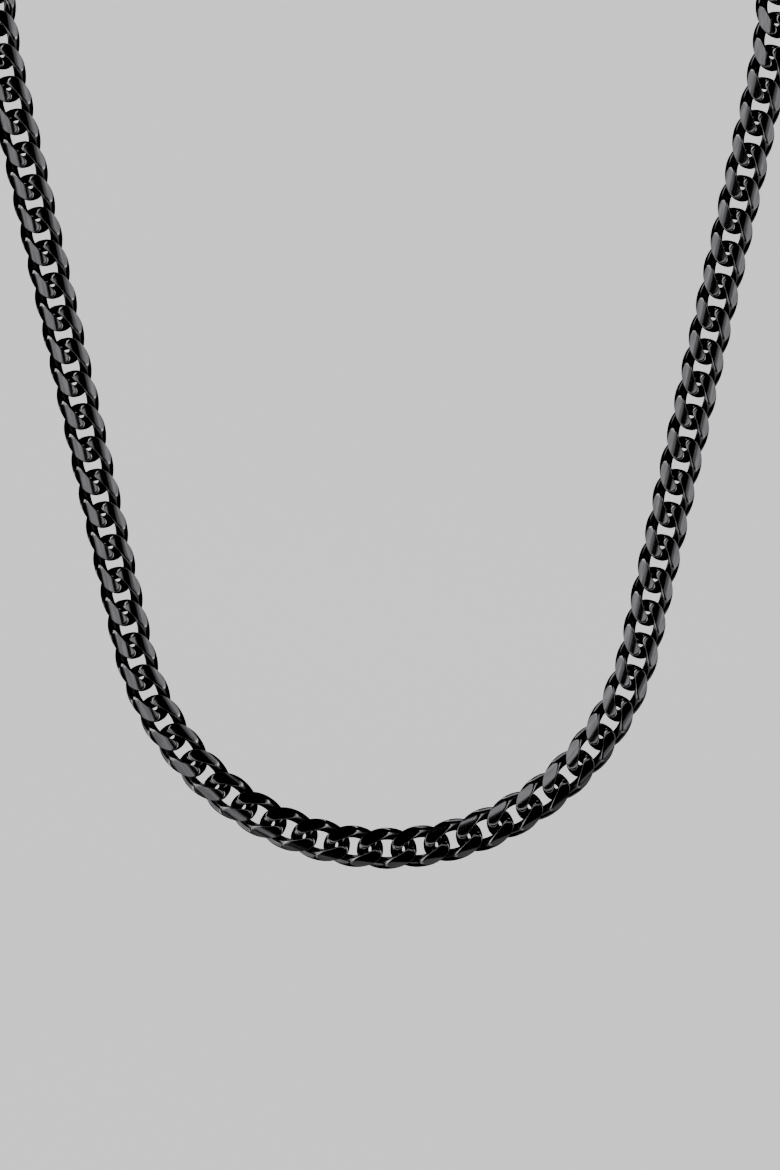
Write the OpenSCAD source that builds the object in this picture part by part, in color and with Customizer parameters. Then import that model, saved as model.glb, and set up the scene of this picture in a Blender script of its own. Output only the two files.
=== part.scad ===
// Cuban link neck chain: twisted, ground links in a whole loop, held up at the nape.
// Millimetres, +Z up, +Y to the back. The origin is the middle of the loop at the nape.

/* [Links] */
// Number of links, the middle one being the lowest
link_count = 93; // [91:2:95]
// Width of the band over its edges
band_w = 8.5; // [8.4:0.05:8.6]
// Diameter of the wire of a link
wire_d = 2.5; // [2.4:0.05:2.5]
// Play between two neighbouring links along the band
link_play = 0.48; // [0.46:0.01:0.6]
// Angle by which each end of a link is twisted out of its middle
twist = 54; // [53:1:57]
// Squareness of a link's outline: 2 is an ellipse, more is squarer
squareness = 3.2; // [2.9:0.1:3.4]
// Thickness of the band between its two ground faces, at the middle
face_t = 3.94; // [3.6:0.02:4.2]
// Radius of the crown across the ground faces
crown_r = 8.1; // [7:0.1:12]

/* [Drape] */
// Lean of the front of the loop, from upright
lean = 20; // [18:1:22]
// Radius of the round bottom of the loop
bottom_r = 53.7; // [53:0.1:55]
// Angle of each arm from the middle line
arm_angle = 12.6; // [12:0.1:13]
// Length of the straight stretch of each arm
arm_len = 120; // [118:1:122]
// Distance of the nape behind the lowest point
nape_back = 115; // [113:1:117]
// Height of the nape above the lowest point
nape_up = 212; // [210:1:214]
// Pull of the nape curve where it leaves an arm
pull_arm = 44; // [42:1:48]
// Pull of the nape curve at the nape itself
pull_nape = 64; // [60:1:66]
// Turn of the band's face between an arm and the nape, over the shoulder
face_turn = 90; // [60:1:95]

/* [Clasp] */
// Distance from the last link's middle on one side to that on the other side
clasp_gap = 29.3; // [29:0.1:30]
// Wire diameter of an end ring
ring_wire = 1.4; // [1.2:0.05:1.4]
// Radius of an end ring, to the middle of its wire
ring_r = 3.3; // [3.2:0.05:3.4]
// Tilt of an end ring out of the band's upright plane
ring_tilt = 26; // [24:1:28]
// Wire diameter of the clasp's loop and eye
clasp_wire = 1.7; // [1.5:0.1:1.7]
// Radius of the round ends of the clasp's loop
loop_r = 2.8; // [2.7:0.05:3]
// Radius of the clasp's eye
eye_r = 2.2; // [2.1:0.05:2.3]
// Diameter of the clasp's neck
neck_d = 2.4; // [2.2:0.1:2.6]
// Play between an end ring and the last link
ring_play = 0.16; // [0.14:0.01:0.18]
// Play between an end ring and the clasp
clasp_play = 0.35; // [0.3:0.01:0.4]

/* [Hidden] */
plating = "#17171a";

// Facets: rings of wire round a link, sides of its wire, steps of the nape curve
wire_rings = 14;
wire_sides = 6;
curve_steps = 120;

// Facets of a ring's or the clasp's wire: along it and around it
loop_steps = 96;
round_steps = 48;

// Small angle either side of a point of a link at which its wire's direction is taken
aim = 0.5;

// Path of the right half of the loop, by its length from the lowest point
bottom_len = bottom_r * (90 - arm_angle) * PI / 180;
arm_end = bottom_len + arm_len;
nape = [0, nape_back, nape_up];

// A point and a direction of the leaning front, from across and up
function front(across, up) = [across, up * sin(lean), up * cos(lean)];
function arm_dir() = front(sin(arm_angle), cos(arm_angle));
function arm_point(len) =
    front(bottom_r * cos(arm_angle), bottom_r * (1 - sin(arm_angle))) + (len - bottom_len) * arm_dir();

// The nape curve is a cubic between the arm's end and the nape
pull_points = [arm_point(arm_end), arm_point(arm_end + pull_arm), nape + [pull_nape, 0, 0], nape];
function cubic(p, t) =
    pow(1 - t, 3) * p[0] + 3 * pow(1 - t, 2) * t * p[1] + 3 * (1 - t) * t * t * p[2] + pow(t, 3) * p[3];
function cubic_dir(p, t) =
    pow(1 - t, 2) * (p[1] - p[0]) + 2 * (1 - t) * t * (p[2] - p[1]) + t * t * (p[3] - p[2]);
function unit(v) = v / norm(v);

// Length along the nape curve at each of its steps, and the step for a length
nape_chords = [for (i = [1:curve_steps])
    norm(cubic(pull_points, i / curve_steps) - cubic(pull_points, (i - 1) / curve_steps))];
function summed(list, i = 0, total = 0) =
    i == len(list) ? [total] : concat([total], summed(list, i + 1, total + list[i]));
nape_lens = summed(nape_chords);
nape_len = nape_lens[curve_steps];
nape_table = [for (i = [0:curve_steps]) [nape_lens[i], i / curve_steps]];
half_len = arm_end + nape_len;

function bottom_angle(len) = len / bottom_r * 180 / PI;
function half_point(len) =
    len < bottom_len ? front(bottom_r * sin(bottom_angle(len)), bottom_r * (1 - cos(bottom_angle(len))))
    : len < arm_end ? arm_point(len)
    : cubic(pull_points, lookup(len - arm_end, nape_table));
function half_dir(len) =
    len < bottom_len ? front(cos(bottom_angle(len)), sin(bottom_angle(len)))
    : len < arm_end ? arm_dir()
    : unit(cubic_dir(pull_points, lookup(len - arm_end, nape_table)));

// The band's face turns from the front, over the shoulder, to the back
function face_dir(len) =
    let (turn = lean + face_turn * max(0, len - arm_end) / nape_len, dir = half_dir(len))
    let (guide = [0, -cos(turn), sin(turn)])
    unit(guide - (guide * dir) * dir);

// Place and axes of the band at a length from the lowest point, less than 0 on the left
function mirrored(v) = [-v[0], v[1], v[2]];
function place(len) =
    let (side = len < 0 ? -1 : 1)
    let (point = half_point(abs(len)) - nape, dir = half_dir(abs(len)), face = face_dir(abs(len)))
    let (along = side < 0 ? -mirrored(dir) : dir, out = side < 0 ? mirrored(face) : face)
    [side < 0 ? mirrored(point) : point, along, cross(out, along), out];
function placed(frame, p) = frame[0] + p[0] * frame[1] + p[1] * frame[2] + p[2] * frame[3];

// Links: half length and half width of the wire's middle line, and their spacing
pitch = (2 * half_len - clasp_gap) / (link_count - 1);
link_a = (pitch + wire_d + link_play) / 2;
link_b = (band_w - wire_d) / 2;
last_link = (link_count - 1) / 2;

function rounded(v) = sign(v) * pow(abs(v), 2 / squareness);
function link_line(t) =
    let (x = link_a * rounded(cos(t)), w = link_b * rounded(sin(t)))
    let (turn = twist * x / link_a)
    [x, w * cos(turn), -w * sin(turn)];

// Height of the ground face over a point of the band, and a point cut back to it
function face_z(y) = face_t / 2 - crown_r + sqrt(crown_r * crown_r - y * y);
function ground(p) = [p[0], p[1], max(-face_z(p[1]), min(face_z(p[1]), p[2]))];

function wire_ring(t) =
    let (middle = link_line(t), along = unit(link_line(t + aim) - link_line(t - aim)))
    let (up = unit([0, 0, 1] - along[2] * along))
    let (side = cross(up, along))
    [for (i = [0:wire_sides - 1])
        let (a = 360 * i / wire_sides)
        ground(middle + wire_d / 2 * (cos(a) * side + sin(a) * up))];
link_points = [for (i = [0:wire_rings - 1]) each wire_ring(360 * i / wire_rings)];
link_faces = [for (i = [0:wire_rings - 1], j = [0:wire_sides - 1])
    let (next = (i + 1) % wire_rings, side = (j + 1) % wire_sides)
    each [
        [i * wire_sides + j, next * wire_sides + j, next * wire_sides + side],
        [i * wire_sides + j, next * wire_sides + side, i * wire_sides + side]
    ]];

// A run of links, from one number to another, as one set of closed shells
module links(first, last) {
    frames = [for (i = [first:last]) place(i * pitch)];
    polyhedron(
        points = [for (frame = frames) each [for (p = link_points) placed(frame, p)]],
        faces = [for (i = [0:last - first]) each [for (f = link_faces) f + i * len(link_points) * [1, 1, 1]]]
    );
}

module chain_left() {
    color(plating) links(-last_link, -1);
}

module chain_right() {
    color(plating) links(0, last_link);
}

// Places along the band's end: the ring from the last link, then the clasp from the ring
ring_at = link_a - wire_d / 2 - ring_play - ring_wire / 2 + ring_r;
clasp_at = ring_at + ring_r - ring_wire / 2 - clasp_play - clasp_wire / 2;
clasp_half = clasp_gap / 2 - clasp_at;

module at(frame) {
    multmatrix([for (i = [0:2]) [frame[1][i], frame[2][i], frame[3][i], frame[0][i]]]) children();
}

// A ring of round wire about its own Z
module wire_loop(r, wire) {
    rotate_extrude($fn = loop_steps) translate([r, 0]) circle(d = wire, $fn = round_steps);
}

// Half of such a ring, on the side of +Y
module half_loop(r, wire) {
    rotate_extrude(angle = 180, $fn = loop_steps) translate([r, 0]) circle(d = wire, $fn = round_steps);
}

module end_ring(side) {
    color(plating)
        at(place(side * (last_link * pitch + ring_at)))
            rotate([90 - side * ring_tilt, 0, 0]) wire_loop(ring_r, ring_wire);
}

module ring_left() end_ring(-1);

module ring_right() end_ring(1);

// The clasp lies along its own X: a long closed loop, a neck and an eye
module clasp() {
    loop_out = -clasp_half + loop_r;
    eye_x = clasp_half - eye_r;
    loop_in = eye_x - eye_r - 2 * loop_r;
    color(plating) at(place(half_len)) {
        translate([loop_out, 0, 0]) rotate([0, 0, 90]) half_loop(loop_r, clasp_wire);
        translate([loop_in, 0, 0]) rotate([0, 0, -90]) half_loop(loop_r, clasp_wire);
        for (y = [-loop_r, loop_r])
            translate([loop_out, y, 0]) rotate([0, 90, 0])
                cylinder(h = loop_in - loop_out, d = clasp_wire, $fn = round_steps);
        translate([loop_in + loop_r, 0, 0]) rotate([0, 90, 0])
            cylinder(h = eye_x - eye_r - loop_in - loop_r, d = neck_d, $fn = round_steps);
        translate([eye_x, 0, 0]) wire_loop(eye_r, clasp_wire);
    }
}

chain_left();
chain_right();
ring_left();
ring_right();
clasp();
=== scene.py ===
import math

import bpy
import numpy as np
from mathutils import Matrix, Vector


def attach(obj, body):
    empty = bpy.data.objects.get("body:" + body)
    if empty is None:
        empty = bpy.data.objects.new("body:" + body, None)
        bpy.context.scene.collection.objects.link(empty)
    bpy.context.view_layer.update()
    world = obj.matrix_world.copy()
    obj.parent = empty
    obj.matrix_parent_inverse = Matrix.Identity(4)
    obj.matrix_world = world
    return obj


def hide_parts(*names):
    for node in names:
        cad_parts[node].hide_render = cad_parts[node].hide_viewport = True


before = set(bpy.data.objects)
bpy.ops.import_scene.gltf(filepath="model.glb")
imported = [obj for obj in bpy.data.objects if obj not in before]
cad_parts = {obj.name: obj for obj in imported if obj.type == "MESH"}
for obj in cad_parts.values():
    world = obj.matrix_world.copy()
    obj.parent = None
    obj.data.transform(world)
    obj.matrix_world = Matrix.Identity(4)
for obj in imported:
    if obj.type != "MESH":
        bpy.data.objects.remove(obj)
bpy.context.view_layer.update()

# Sizes, in millimetres, as in the part's source
LINK_COUNT = 93
BAND_W = 8.5
WIRE_D = 2.5
LINK_PLAY = 0.48
TWIST = math.radians(54)
SQUARENESS = 3.2
FACE_T = 3.94
CROWN_R = 8.1
LEAN = math.radians(20)
BOTTOM_R = 53.7
ARM_ANGLE = math.radians(12.6)
ARM_LEN = 120
NAPE = np.array([0, 115, 212.0])
PULL_ARM = 44
PULL_NAPE = 64
FACE_TURN = math.radians(90)
CLASP_GAP = 29.3
CURVE_STEPS = 120
MM = 0.001

# Fine links: rows along the wire, points in each quarter of its round, and the softness of a ground edge
WIRE_ROWS = 84
QUARTER_POINTS = 14
EDGE_SOFT = 0.26

# How strongly bends draw rows, and how strongly and from how far a ground edge draws points
BEND_PULL = 1.2
EDGE_PULL = 1.5
EDGE_REACH = 0.3

# Steps for measuring the wire's line and a quarter of its round, and for taking the line's direction
LINE_STEPS = 7200
QUARTER_STEPS = 360
AIM = 0.004

# Widths over which metal turns from drawn to ground, and over which an edge is worn and given a painted
# sheen
GROUND_BLUR = 0.12
WORN_AND_SHEEN_REACH = 0.1

# Random start of each link's grain, and the longest shift of it
SEED = 8
GRAIN_SHIFT = 37.0

# The photograph's frame: pixels, the lowest link's place in it, and millimetres to a pixel
PHOTO_W = 780
PHOTO_H = 1170
LOWEST_PX = (386.8, 848.3)
MM_PER_PX = 0.20527

# Camera: its swing to one side of straight ahead, and its distance in metres
SWING = math.radians(5.5)
CAMERA_FAR = 6.0


# The loop's path
def unit(v):
    return v / np.linalg.norm(v)


def front(across, up):
    return np.array([across, up * math.sin(LEAN), up * math.cos(LEAN)])


ARM_DIR = front(math.sin(ARM_ANGLE), math.cos(ARM_ANGLE))
BOTTOM_LEN = BOTTOM_R * (math.pi / 2 - ARM_ANGLE)
ARM_END = BOTTOM_LEN + ARM_LEN


def arm_point(length):
    foot = front(BOTTOM_R * math.cos(ARM_ANGLE), BOTTOM_R * (1 - math.sin(ARM_ANGLE)))
    return foot + (length - BOTTOM_LEN) * ARM_DIR


PULLS = [arm_point(ARM_END), arm_point(ARM_END + PULL_ARM), NAPE + [PULL_NAPE, 0, 0], NAPE]


def cubic(t):
    a, b, c, d = PULLS
    return (1 - t) ** 3 * a + 3 * (1 - t) ** 2 * t * b + 3 * (1 - t) * t * t * c + t ** 3 * d


def cubic_dir(t):
    a, b, c, d = PULLS
    return (1 - t) ** 2 * (b - a) + 2 * (1 - t) * t * (c - b) + t * t * (d - c)


NAPE_STEPS = np.linspace(0, 1, CURVE_STEPS + 1)
NAPE_POINTS = np.array([cubic(t) for t in NAPE_STEPS])
NAPE_LENS = np.concatenate([[0], np.cumsum(np.linalg.norm(np.diff(NAPE_POINTS, axis=0), axis=1))])
HALF_LEN = ARM_END + NAPE_LENS[-1]
PITCH = (2 * HALF_LEN - CLASP_GAP) / (LINK_COUNT - 1)
LINK_A = (PITCH + WIRE_D + LINK_PLAY) / 2
LINK_B = (BAND_W - WIRE_D) / 2
LAST_LINK = (LINK_COUNT - 1) // 2


def half_place(length):
    """Point and direction of the right half of the loop, by its length from the lowest point."""
    if length < BOTTOM_LEN:
        angle = length / BOTTOM_R
        point = front(BOTTOM_R * math.sin(angle), BOTTOM_R * (1 - math.cos(angle)))
        return point, front(math.cos(angle), math.sin(angle))
    if length < ARM_END:
        return arm_point(length), ARM_DIR
    step = np.interp(length - ARM_END, NAPE_LENS, NAPE_STEPS)
    return cubic(step), unit(cubic_dir(step))


def place(length):
    """Point and axes (along, across, out) of the band; a length below 0 is on the left."""
    point, along = half_place(abs(length))
    turn = LEAN + FACE_TURN * max(0, abs(length) - ARM_END) / NAPE_LENS[-1]
    guide = np.array([0, -math.cos(turn), math.sin(turn)])
    out = unit(guide - guide.dot(along) * along)
    point = point - NAPE
    if length < 0:
        flip = np.array([-1, 1, 1])
        point, along, out = point * flip, -along * flip, out * flip
    return point, np.array([along, np.cross(out, along), out])


# One fine link
def rounded(v):
    return np.sign(v) * np.abs(v) ** (2 / SQUARENESS)


def link_line(t):
    x = LINK_A * rounded(np.cos(t))
    w = LINK_B * rounded(np.sin(t))
    turn = TWIST * x / LINK_A
    return np.stack([x, w * np.cos(turn), -w * np.sin(turn)], axis=-1)


def face_height(y):
    return FACE_T / 2 - CROWN_R + np.sqrt(CROWN_R ** 2 - y ** 2)


def soft_min(a, b, soft):
    near = np.maximum(soft - np.abs(a - b), 0) / soft
    return np.minimum(a, b) - near * near * soft / 4


def shares(values, steps, count):
    """The values at which the running total of their steps is cut into equal shares."""
    total = np.concatenate([[0], np.cumsum(steps)])
    return np.interp(np.arange(count) / count * total[-1], total, values)


def unit_rows(v):
    return v / np.linalg.norm(v, axis=1)[:, None]


def link_rows():
    """Places along a link's wire: even, and closer where it bends."""
    fine = np.linspace(0, 2 * math.pi, LINE_STEPS + 1)
    chords = np.diff(link_line(fine), axis=0)
    ahead = unit_rows(chords)
    bends = np.linalg.norm(ahead - np.roll(ahead, 1, axis=0), axis=1)
    return shares(fine, np.linalg.norm(chords, axis=1) + BEND_PULL * bends, WIRE_ROWS)


def link_mesh():
    """Points of one link in rows round its wire, with how ground each of them is, and how near each is
    to an edge that is worn and given a painted sheen.
    """
    spots = link_rows()
    middle = link_line(spots)
    along = unit_rows(link_line(spots + AIM) - link_line(spots - AIM))
    up = unit_rows(np.array([0, 0, 1.0]) - along[:, 2:] * along)
    side = np.cross(up, along)

    points, ground, worn_and_sheen = [], [], []
    for m, u, s in zip(middle, up, side):
        def ring(angle):
            return m + WIRE_D / 2 * (np.cos(angle)[:, None] * s + np.sin(angle)[:, None] * u)
        angles = []
        for quarter in range(4):
            turns = (quarter + np.linspace(0, 1, QUARTER_STEPS + 1)) * math.pi / 2
            trial = ring(turns[:-1])
            over = np.abs(trial[:, 2]) - face_height(trial[:, 1])
            steps = 1 + EDGE_PULL * np.exp(-(over / EDGE_REACH) ** 2)
            angles.append(shares(turns, steps, QUARTER_POINTS))
        wire = ring(np.concatenate(angles))
        height = face_height(wire[:, 1])
        over = np.abs(wire[:, 2]) - height
        wire[:, 2] = soft_min(wire[:, 2], height, EDGE_SOFT)
        wire[:, 2] = -soft_min(-wire[:, 2], height, EDGE_SOFT)
        points.append(wire)
        ground.append(np.clip(over / GROUND_BLUR + 0.5, 0, 1))
        # Nearness to the edge of a ground face, where the plating is worn and a painted sheen lightens
        # the rim
        worn_and_sheen.append(np.exp(-(over / WORN_AND_SHEEN_REACH) ** 2))
    return np.concatenate(points), np.concatenate(ground), np.concatenate(worn_and_sheen)


def grid_faces(rows, points):
    """Faces of a closed tube whose rows close on themselves, too."""
    i, j = np.meshgrid(np.arange(rows), np.arange(points), indexing="ij")
    row, next_row = i * points, (i + 1) % rows * points
    next_j = (j + 1) % points
    return np.stack([row + j, next_row + j, next_row + next_j, row + next_j], axis=-1).reshape(-1, 4)


LINK_POINTS, LINK_GROUND, LINK_WORN_AND_SHEEN = link_mesh()
LINK_FACES = grid_faces(WIRE_ROWS, 4 * QUARTER_POINTS)
GRAIN_STARTS = GRAIN_SHIFT * np.random.default_rng(SEED).random(LINK_COUNT)


def chain_run(name, node, first, last):
    """A run of links as one piece, in place of a part of a CAD node."""
    points = []
    for number in range(first, last + 1):
        point, axes = place(number * PITCH)
        points.append((point + LINK_POINTS @ axes) * MM)
    links, count = len(points), len(LINK_POINTS)
    faces = np.concatenate([LINK_FACES + k * count for k in range(links)])
    mesh = bpy.data.meshes.new(name)
    mesh.vertices.add(count * links)
    mesh.vertices.foreach_set("co", np.concatenate(points).ravel())
    mesh.loops.add(faces.size)
    mesh.loops.foreach_set("vertex_index", faces.ravel())
    mesh.polygons.add(len(faces))
    mesh.polygons.foreach_set("loop_start", np.arange(len(faces)) * 4)
    mesh.polygons.foreach_set("use_smooth", np.ones(len(faces), dtype=bool))
    mesh.update(calc_edges=True)
    # Each point's place on its own link, moved along by the start of that link's grain
    starts = np.repeat(GRAIN_STARTS[first + LAST_LINK:last + LAST_LINK + 1], count)
    seats = np.tile(LINK_POINTS, (links, 1)) + starts[:, None] * [1.0, 0, 0]
    mesh.attributes.new("seat", "FLOAT_VECTOR", "POINT").data.foreach_set("vector", seats.ravel())
    # The edge mark is where the plating is worn and where a painted sheen lightens the rims
    for title, values in (("ground", LINK_GROUND), ("edge", LINK_WORN_AND_SHEEN)):
        mark = mesh.attributes.new(title, "FLOAT", "POINT")
        mark.data.foreach_set("value", np.tile(values, links))
    mesh.validate()
    piece = bpy.data.objects.new(name, mesh)
    bpy.context.scene.collection.objects.link(piece)
    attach(piece, "root")
    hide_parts(node)
    return piece


# Sockets of nodes that are known by their number
OBJECT_SPOT = 3
AS_VECTOR, AS_NUMBER = 1, 2
MIX_SHARE, MIX_A, MIX_B, MIX_COLOUR = 0, 6, 7, 2


# Finishes
class Value:
    """A socket of a node tree; sums and products of it add the nodes that work them out."""

    def __init__(self, paint, socket):
        self.paint, self.socket = paint, socket

    def _math(self, operation, *terms):
        return self.paint.node("ShaderNodeMath", {"operation": operation}, dict(enumerate(terms)))

    def __add__(self, other):
        return self._math("ADD", self, other)

    def __sub__(self, other):
        return self._math("SUBTRACT", self, other)

    def __rsub__(self, other):
        return self._math("SUBTRACT", other, self)

    def __mul__(self, other):
        return self._math("MULTIPLY", self, other)

    __radd__, __rmul__ = __add__, __mul__


class Paint:
    """A material, and the one way in which its nodes are made."""

    def __init__(self, name):
        self.material = bpy.data.materials.new(name)
        self.material.use_nodes = True
        self.tree = self.material.node_tree
        self.tree.nodes.clear()

    def node(self, kind, settings=None, inputs=None, out=0):
        made = self.tree.nodes.new(kind)
        for key, value in (settings or {}).items():
            if key == "stops":
                ramp = made.color_ramp
                while len(ramp.elements) < len(value):
                    ramp.elements.new(0.5)
                for stop, (spot, shade) in zip(ramp.elements, value):
                    stop.position = spot
                    stop.color = (shade, shade, shade, 1)
            else:
                setattr(made, key, value)
        for key, value in (inputs or {}).items():
            if isinstance(value, Value):
                self.tree.links.new(value.socket, made.inputs[key])
            else:
                made.inputs[key].default_value = value
        return Value(self, made.outputs[out]) if out is not None else made

    def spot(self):
        return self.node("ShaderNodeTexCoord", out=OBJECT_SPOT)

    def attribute(self, name, out):
        return self.node("ShaderNodeAttribute", {"attribute_name": name}, out=out)

    def mapped(self, vector, scale):
        return self.node("ShaderNodeMapping", {}, {"Vector": vector, "Scale": scale})

    def noise(self, vector, scale, detail=3.0):
        return self.node("ShaderNodeTexNoise", {}, {"Vector": vector, "Scale": scale, "Detail": detail})

    def ramp(self, value, *stops):
        return self.node("ShaderNodeValToRGB", {"stops": stops}, {0: value})

    def blend(self, share, a, b):
        terms = {MIX_SHARE: share, MIX_A: a, MIX_B: b}
        return self.node("ShaderNodeMix", {"data_type": "RGBA"}, terms, out=MIX_COLOUR)

    def done(self, shader):
        self.node("ShaderNodeOutputMaterial", {}, {"Surface": shader}, out=None)
        return self.material


def grey(shade, tint=1.0):
    return (shade, shade, shade * tint, 1)


PLATE_DARK = grey(0.050, 1.04)
PLATE_LIGHT = grey(0.075, 1.04)
# Edge colour: worn plating, made lighter still as a painted sheen on the rims of the ground faces
PLATE_WORN_AND_SHEEN = grey(0.30, 1.02)
FLOOR_DARK = grey(0.70)
FLOOR_PALE = grey(0.76)

# Black plating mirrors little more at a grazing angle than straight on
EDGE_TINT = grey(0.1)

# Scale of noise over a metre: smudges, and the fine grain of plating
SMUDGE_SCALE = 90.0
GRAIN_SCALE = 900.0

# Scale of noise over a millimetre of a link, along, across and out: ground lines, and broad tones
LINES_SCALE = (0.35, 9.0, 1.5)
BROAD_SCALE = (0.25, 2.2, 0.6)

# Polish: roughness of the links and of the clasp, and the depth of their grain in metres
LINK_ROUGH = 0.10
CLASP_ROUGH = 0.16
GRAIN_DEPTH = 0.00001


def plating(name, with_links):
    """Black plating: polished wire, and faces ground with fine lines along the chain."""
    p = Paint(name)
    spot = p.spot()
    smudge = p.noise(spot, SMUDGE_SCALE)
    fine = p.noise(spot, GRAIN_SCALE, 4.0)
    if with_links:
        seat = p.attribute("seat", AS_VECTOR)
        ground = p.attribute("ground", AS_NUMBER)
        edge = p.attribute("edge", AS_NUMBER)
        lines = p.noise(p.mapped(seat, LINES_SCALE), 1.0, 4.0)
        broad = p.noise(p.mapped(seat, BROAD_SCALE), 1.0, 2.0)
        height = (lines - 0.5) * ground + (fine - 0.5) * 0.12
        rough = LINK_ROUGH + (lines - 0.5) * ground * 0.08 + (smudge - 0.5) * 0.05
        colour = p.blend(p.ramp(broad, (0.35, 0.0), (0.7, 1.0)), PLATE_DARK, PLATE_LIGHT)
        # Rims of the ground faces lighter: worn plating and a painted sheen
        colour = p.blend(edge * p.ramp(fine, (0.35, 0.2), (0.6, 0.9)), colour, PLATE_WORN_AND_SHEEN)
    else:
        height = (fine - 0.5) * 0.2
        rough = CLASP_ROUGH + (smudge - 0.5) * 0.12
        colour = p.blend(p.ramp(smudge, (0.35, 0.0), (0.7, 1.0)), PLATE_DARK, PLATE_LIGHT)
    bump = {"Strength": 0.25, "Distance": GRAIN_DEPTH, "Height": height}
    return p.done(p.node("ShaderNodeBsdfPrincipled", {}, {
        "Base Color": colour, "Metallic": 1.0, "Roughness": rough,
        "Normal": p.node("ShaderNodeBump", {}, bump), "Specular Tint": EDGE_TINT}))


def plain_floor():
    """A pale matt floor with faint clouds and grain."""
    p = Paint("pale_floor")
    spot = p.spot()
    cloud = p.noise(spot, 3.0, 2.0)
    grain = p.noise(spot, 300.0, 2.0)
    colour = p.blend(cloud * 0.6 + grain * 0.4, FLOOR_DARK, FLOOR_PALE)
    return p.done(p.node("ShaderNodeBsdfPrincipled", {}, {"Base Color": colour, "Roughness": 0.85}))


# Pieces: each half of the loop in three runs of links, at the nape, over the shoulder and at the front
link_plating = plating("link_plating", True)
clasp_plating = plating("clasp_plating", False)
RUNS = [
    ("links_left_nape", "chain_left", -46, -32),
    ("links_left_shoulder", "chain_left", -31, -16),
    ("links_left_front", "chain_left", -15, -1),
    ("links_right_front", "chain_right", 0, 15),
    ("links_right_shoulder", "chain_right", 16, 31),
    ("links_right_nape", "chain_right", 32, 46),
]
for run in RUNS:
    chain_run(*run).data.materials.append(link_plating)
for node in ("ring_left", "ring_right", "clasp"):
    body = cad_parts[node]
    body.data.materials.clear()
    body.data.materials.append(clasp_plating)

# Floor, which the camera sees, and which neither shows in the polished links nor keeps light from them
FLOOR_Z = -0.55
FLOOR_SIZE = 60
bpy.ops.mesh.primitive_plane_add(size=FLOOR_SIZE, location=(0, 0, FLOOR_Z))
floor = bpy.context.object
floor.name = "floor"
floor.data.materials.append(plain_floor())
floor.visible_glossy = False
floor.visible_shadow = False


def frame_of(right, up, back, spot):
    """A matrix that stands at a spot and looks or shines away from back."""
    matrix = Matrix((right, up, back)).transposed().to_4x4()
    matrix.translation = spot
    return matrix


# The photograph's right, up and towards the camera, across the leaning front of the loop
flat_right = Vector((1, 0, 0))
photo_up = Vector((0, math.sin(LEAN), math.cos(LEAN)))
flat_back = Vector((0, -math.cos(LEAN), math.sin(LEAN)))
photo_right = math.cos(SWING) * flat_right + math.sin(SWING) * flat_back
photo_back = math.cos(SWING) * flat_back - math.sin(SWING) * flat_right

# The point that the middle of the photograph shows
lowest = Vector((0, -NAPE[1], -NAPE[2])) * MM
aim = lowest + photo_right * ((PHOTO_W / 2 - LOWEST_PX[0]) * MM_PER_PX * MM)
aim += photo_up * ((LOWEST_PX[1] - PHOTO_H / 2) * MM_PER_PX * MM)

# Camera
lens = bpy.data.cameras.new("camera")
lens.lens = lens.sensor_width * CAMERA_FAR / (PHOTO_H * MM_PER_PX * MM)
lens.clip_start = 0.05
lens.clip_end = 60
camera = bpy.data.objects.new("camera", lens)
camera.matrix_world = frame_of(photo_right, photo_up, photo_back, aim + photo_back * CAMERA_FAR)
bpy.context.scene.collection.objects.link(camera)
bpy.context.scene.camera = camera

# Sides that lights stand at, each as right, up and out; the back one is low down behind the loop
BACK_DROP = math.radians(50)
FRONT = (photo_right, photo_up, photo_back)
LEFT = (photo_back, photo_up, -photo_right)
BACK = (Vector((-1, 0, 0)), Vector((0, math.sin(BACK_DROP), math.cos(BACK_DROP))),
        Vector((0, math.cos(BACK_DROP), -math.sin(BACK_DROP))))

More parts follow.
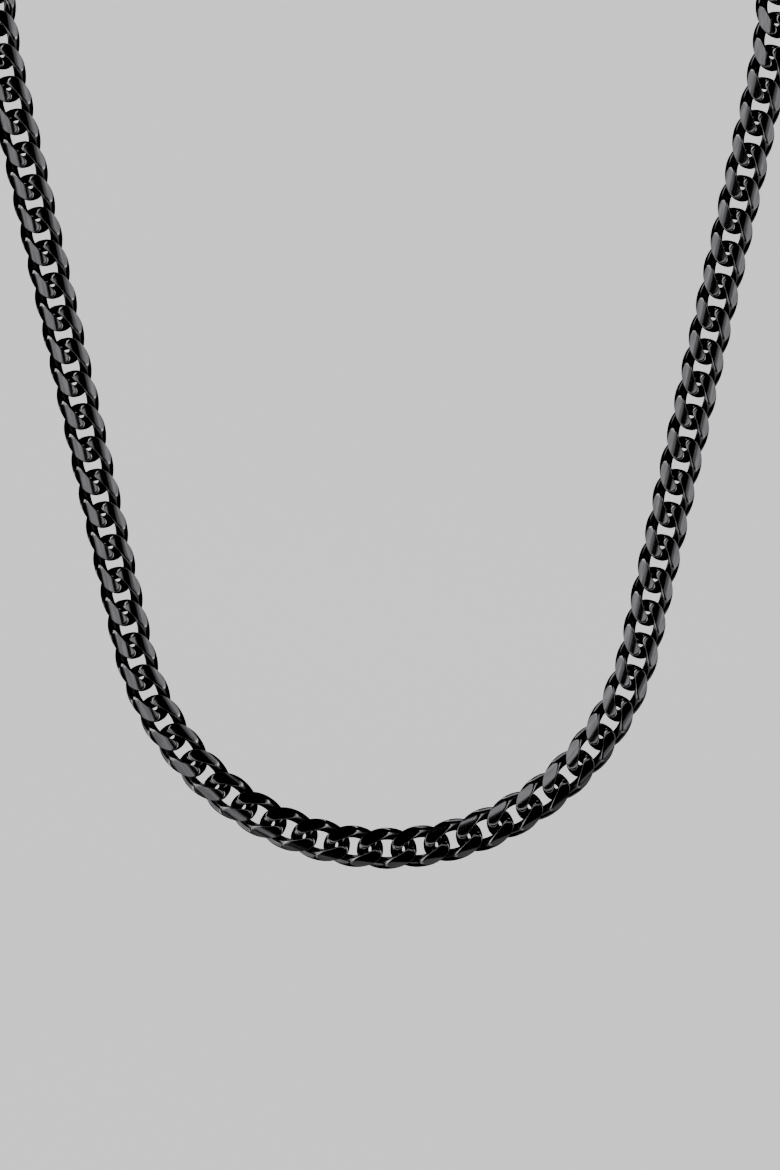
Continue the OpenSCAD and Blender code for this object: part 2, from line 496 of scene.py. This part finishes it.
# Soft lights: name, side, angles to the left and right ends, to the low and high ends, and glow
LIGHT_PANELS = [
    ("left_high", FRONT, -44, -4, 14, 42, 3.3),
    ("left_middle", FRONT, -46, -25, 3, 14, 3.3),
    ("left_middle_near", FRONT, -25, -17, 3, 14, 1.6),
    ("left_level", FRONT, -34, -12, -9, 3, 2.9),
    ("left_low", FRONT, -35, -6, -24, -9, 2.5),
    ("left_lowest", FRONT, -35, -6, -38, -24, 1.9),
    ("right_far", FRONT, 50, 71, -40, 48, 3.0),
    ("right_near", FRONT, 42, 50, -40, 46, 1.2),
    ("middle", FRONT, -2, 20, -5, 4, 3.0),
    ("low", FRONT, -42, 66, -64, -43, 0.8),
    ("left_far", FRONT, -72, -50, -56, -18, 2.0),
    ("left_side", LEFT, -30, 25, -50, -5, 2.0),
    ("back_left", BACK, -48, -10, -36, 36, 3.0),
    ("back_right", BACK, 28, 62, -36, 36, 3.0),
]
LIGHT_FAR = 2.0

# The light overhead: its spot, width, depth and glow
OVERHEAD_SPOT = (0, 1.6, 1.4)
OVERHEAD_WIDE = 2.4
OVERHEAD_DEEP = 2.2
OVERHEAD_GLOW = 4.0

# Glow of the air, and the light on the floor alone that makes it as pale as the air behind it
AIR_GLOW = 1.0
FLOOR_LIGHT = 1.15


def lamp(name, kind, matrix):
    """A lamp that the camera doesn't see."""
    hung = bpy.data.objects.new(name, bpy.data.lights.new(name, kind))
    hung.matrix_world = matrix
    hung.visible_camera = False
    bpy.context.scene.collection.objects.link(hung)
    return hung


def soft_light(name, matrix, wide, tall, glow):
    """An even panel of light, which the links mirror and the floor doesn't take."""
    hung = lamp(name, "AREA", matrix)
    hung.visible_diffuse = False
    hung.data.shape = "RECTANGLE"
    hung.data.size = wide
    hung.data.size_y = tall
    hung.data.energy = glow * wide * tall * math.pi


def softbox(name, side, left, right, low, high, glow):
    """A soft light at one side of the loop, between angles across and up from that side's axis."""
    ends = [LIGHT_FAR * math.tan(math.radians(angle)) for angle in (left, right, low, high)]
    left, right, low, high = ends
    across, up, out = side
    spot = aim + out * LIGHT_FAR + across * ((left + right) / 2) + up * ((low + high) / 2)
    soft_light(name, frame_of(across, up, out, spot), right - left, high - low, glow)


for panel in LIGHT_PANELS:
    softbox(*panel)
down = frame_of(Vector((1, 0, 0)), Vector((0, 1, 0)), Vector((0, 0, 1)), Vector(OVERHEAD_SPOT))
soft_light("overhead", down, OVERHEAD_WIDE, OVERHEAD_DEEP, OVERHEAD_GLOW)
floor_lamp = lamp("floor_lamp", "SUN", down)
floor_lamp.visible_glossy = False
floor_lamp.data.energy = FLOOR_LIGHT

# The air, which is as pale as the floor and which the links don't mirror
world = bpy.data.worlds.new("studio")
bpy.context.scene.world = world
world.use_nodes = True
sky = world.node_tree.nodes["Background"]
sky.inputs["Color"].default_value = (1, 1, 1, 1)
sky.inputs["Strength"].default_value = AIR_GLOW
world.cycles_visibility.glossy = False
